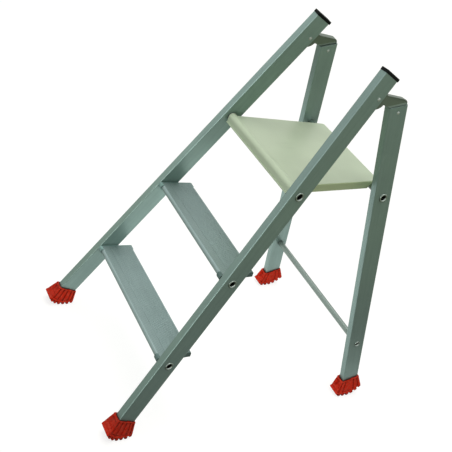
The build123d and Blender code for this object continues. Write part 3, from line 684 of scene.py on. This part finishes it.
def makeCleatTree():
    # A row of rounded rubber bars, set square to a line that runs under the foot.
    tree, given, out = newGroup("cleatRow", [
        ("Geometry", "Geometry", None), ("Count", "Int", 6), ("Width", "Float", 0.008), ("Depth", "Float", 0.004),
        ("Length", "Float", 0.037), ("Round", "Float", 0.0014), ("Finish", "Material", None)],
        [("Geometry", "Geometry")], "GeometryNodeTree")
    line = addNode(tree, "GeometryNodeMeshToCurve", {"Mesh": given["Geometry"]})
    spread = addNode(tree, "GeometryNodeResampleCurve", {"Curve": line, "Count": given["Count"]})
    half = multiply(tree, given["Length"], 0.5)
    start = addNode(tree, "ShaderNodeCombineXYZ", {"X": multiply(tree, half, -1.0)})
    end = addNode(tree, "ShaderNodeCombineXYZ", {"X": half})
    spine = addNode(tree, "GeometryNodeCurvePrimitiveLine", {"Start": start, "End": end})
    outline = addNode(tree, "GeometryNodeCurvePrimitiveQuadrilateral", {"Width": given["Width"],
                                                                        "Height": given["Depth"]})
    rounded = addNode(tree, "GeometryNodeFilletCurve", {"Curve": outline, "Radius": given["Round"], "Count": 4},
                      mode="POLY")
    bar = addNode(tree, "GeometryNodeCurveToMesh", {"Curve": spine, "Profile Curve": rounded, "Fill Caps": True})
    heading = addNode(tree, "GeometryNodeInputTangent")
    turned = addNode(tree, "FunctionNodeAlignRotationToVector", {"Vector": heading}, axis="Y", pivot_axis="X")
    row = addNode(tree, "GeometryNodeInstanceOnPoints", {"Points": spread, "Instance": bar, "Rotation": turned})
    solid = addNode(tree, "GeometryNodeRealizeInstances", {"Geometry": row})
    finished = addNode(tree, "GeometryNodeSetMaterial", {"Geometry": solid, "Material": given["Finish"]})
    wire(tree, finished, out["Geometry"])
    return tree


def runTree(name, data, tree, **values):
    # Evaluates a tree on a mesh and returns the plain mesh that comes out.
    maker = bpy.data.objects.new(name, data)
    bpy.context.scene.collection.objects.link(maker)
    modifier = maker.modifiers.new("build", "NODES")
    modifier.node_group = tree
    for item in tree.interface.items_tree:
        if item.in_out == "INPUT" and item.name in values:
            modifier[item.identifier] = values[item.name]
    graph = bpy.context.evaluated_depsgraph_get()
    result = bpy.data.meshes.new_from_object(maker.evaluated_get(graph))
    bpy.data.objects.remove(maker)
    return result


def makeCleats(kind, foot, line, tree):
    start, end = (round((len(line) - 1) * share) for share in footLook["cleatSpan"])
    kept = line[start:end]
    spine = bpy.data.meshes.new(kind + "SoleLine")
    spine.from_pydata(kept, [(index, index + 1) for index in range(len(kept) - 1)], [])
    run = sum((Vector(b) - Vector(a)).length for a, b in zip(kept, kept[1:]))
    return runTree(kind + "Teeth", spine, tree, Count=footLook["cleats"] + 1,
                   Width=run / footLook["cleats"] * footLook["cleatShare"], Depth=footLook["cleatHeight"],
                   Length=2 * (foot["halfWide"] - footLook["cleatInset"]), Round=footLook["cleatRound"],
                   Finish=footRubber[kind, "right"])


def addPiece(name, mesh, material, body):
    data = bpy.data.meshes.new(name)
    mesh.to_mesh(data)
    mesh.free()
    data.materials.clear()
    data.materials.append(material)
    piece = bpy.data.objects.new(name, data)
    bpy.context.scene.collection.objects.link(piece)
    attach(piece, body)
    return piece


cleatRow = makeCleatTree()
for kind, foot in feet.items():
    shell, line = makeFoot(kind, foot)
    teeth = makeCleats(kind, foot, line, cleatRow)
    for label, side in sides.items():
        low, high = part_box(kind + "_foot_" + label)
        body = "front_frame" if kind == "front" else "rear_frame"
        whole = bmesh.new()
        whole.from_mesh(shell)
        whole.from_mesh(teeth)
        if side < 0:
            bmesh.ops.scale(whole, vec=(-1, 1, 1), verts=whole.verts)
            bmesh.ops.reverse_faces(whole, faces=whole.faces)
        for vertex in whole.verts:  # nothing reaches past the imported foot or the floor
            vertex.co = [min(max(vertex.co[i], low[i]), high[i]) for i in range(3)]
        piece = addPiece(kind + "_foot_boot_" + label, whole, footRubber[kind, label], body)
        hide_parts(kind + "_foot_" + label)
print("feet made")

# Floor and light. The floor is white to the eye and in reflections near the ladder, and keeps its shadow.
studio = {"floorRadius": 40.0, "floorColor": (0.26, 0.26, 0.25), "floorGlow": 0.82,
          "poolCentre": (-0.45, 0.35, 0.0), "poolInner": 0.75, "poolOuter": 1.0, "poolBright": 0.80,
          "poolColor": (0.95, 1.0, 1.0), "farInner": 0.85, "farOuter": 1.6, "farBright": 0.32,
          "farColor": (0.88, 1.0, 0.64), "ambient": 0.15, "ambientColor": (1.0, 1.0, 0.82)}
suns = {
    "keyLight": {"from": (0.06, -1.0, 0.05), "level": 0.42, "spread": 30, "color": (0.95, 1.0, 1.0)},
    "topLight": {"from": (-0.05, 0.05, 1.0), "level": 0.62, "spread": 50, "color": (1.0, 1.0, 0.98)},
    "fillLight": {"from": (1.0, -0.3, 0.3), "level": 0.05, "spread": 60, "color": (1.0, 1.0, 0.96)},
}
underLamp = {"at": (-0.02, 0.0, 0.32), "power": 3.2, "radius": 0.15, "color": (0.96, 1.0, 0.98)}


def makeFloor():
    mesh = bmesh.new()
    bmesh.ops.create_circle(mesh, cap_ends=True, segments=96, radius=studio["floorRadius"])
    data = bpy.data.meshes.new("studioFloor")
    mesh.to_mesh(data)
    mesh.free()
    floor = bpy.data.objects.new("studioFloor", data)
    bpy.context.scene.collection.objects.link(floor)
    material = bpy.data.materials.new("studioFloorWhite")
    material.use_nodes = True
    tree = material.node_tree
    tree.nodes.remove(tree.nodes["Principled BSDF"])
    place = addNode(tree, "ShaderNodeTexCoord").outputs["Object"]
    away = addNode(tree, "ShaderNodeVectorMath", {0: place, 1: studio["poolCentre"]}, operation="DISTANCE")
    away = away.outputs["Value"]
    pool = remap(tree, away, studio["poolInner"], studio["poolOuter"], studio["poolBright"], 0.0)
    far = remap(tree, away, studio["farInner"], studio["farOuter"], 0.0, studio["farBright"])
    seen = addNode(tree, "ShaderNodeLightPath").outputs
    direct = multiply(tree, calc(tree, "ADD", seen["Is Camera Ray"], seen["Is Transmission Ray"]),
                      studio["floorGlow"])
    mirrored = multiply(tree, seen["Is Glossy Ray"], calc(tree, "ADD", pool, far))
    reach = remap(tree, away, studio["poolInner"], studio["farOuter"])
    poolTint = mixColor(tree, reach, (*studio["poolColor"], 1), (*studio["farColor"], 1))
    tint = mixColor(tree, seen["Is Glossy Ray"], (1, 1, 1, 1), poolTint)
    light = addNode(tree, "ShaderNodeEmission", {"Color": tint, "Strength": calc(tree, "ADD", direct, mirrored)})
    matt = addNode(tree, "ShaderNodeBsdfDiffuse", {"Color": (*studio["floorColor"], 1)})
    both = addNode(tree, "ShaderNodeAddShader", {0: light, 1: matt})
    wire(tree, both, tree.nodes["Material Output"].inputs["Surface"])
    data.materials.append(material)


def addLamp(name, kind, color):
    light = bpy.data.lights.new(name, kind)
    light.color = color
    lamp = bpy.data.objects.new(name, light)
    bpy.context.scene.collection.objects.link(lamp)
    return light, lamp


def makeSun(name, sun):
    light, lamp = addLamp(name, "SUN", sun["color"])
    light.energy = sun["level"] * pi
    light.angle = radians(sun["spread"])
    lamp.rotation_euler = Vector(sun["from"]).to_track_quat("Z", "Y").to_euler()


def makeUnderLight():
    # A weak soft lamp between the frames, which opens up the inner faces.
    light, lamp = addLamp("underLight", "POINT", underLamp["color"])
    light.energy = underLamp["power"]
    light.shadow_soft_size = underLamp["radius"]
    lamp.location = underLamp["at"]
    lamp.visible_camera = False
    lamp.visible_glossy = False


def makeWorld():
    world = bpy.data.worlds.new("studioRoom")
    world.use_nodes = True
    bpy.context.scene.world = world
    tree = world.node_tree
    seen = addNode(tree, "ShaderNodeLightPath").outputs
    direct = calc(tree, "ADD", calc(tree, "ADD", seen["Is Camera Ray"], seen["Is Transmission Ray"]),
                  seen["Is Glossy Ray"], clamp=True)
    ambient = tuple(studio["ambient"] * part for part in studio["ambientColor"])
    tone = mixColor(tree, direct, (*ambient, 1), (1, 1, 1, 1))
    wire(tree, tone, tree.nodes["Background"].inputs["Color"])


makeFloor()
for name, sun in suns.items():
    makeSun(name, sun)
makeUnderLight()
makeWorld()

# Camera, aimed from the front right and from above, and turned about its own axis.
view = {"target": (0.0, -0.0838, 0.4430), "azimuth": 50.84, "elevation": 32.66, "distance": 1.9198,
        "roll": -21.447, "lens": 60.94, "sensor": 36, "clipEnd": 200}


def makeCamera():
    azimuth, elevation, roll = (radians(view[key]) for key in ("azimuth", "elevation", "roll"))
    toward = Vector((sin(azimuth) * cos(elevation), -cos(azimuth) * cos(elevation), sin(elevation)))
    level = Vector((cos(azimuth), sin(azimuth), 0))
    top = toward.cross(level) * cos(roll) + level * sin(roll)
    right = top.cross(toward)
    camera = bpy.data.cameras.new("viewCamera")
    camera.lens = view["lens"]
    camera.sensor_width = view["sensor"]
    camera.clip_end = view["clipEnd"]
    rig = bpy.data.objects.new("viewCamera", camera)
    bpy.context.scene.collection.objects.link(rig)
    turn = Matrix((right, top, toward)).transposed().to_4x4()
    rig.matrix_world = Matrix.Translation(Vector(view["target"]) + toward * view["distance"]) @ turn
    bpy.context.scene.camera = rig


makeCamera()
bpy.context.scene.view_settings.view_transform = "Standard"
print("studio made")
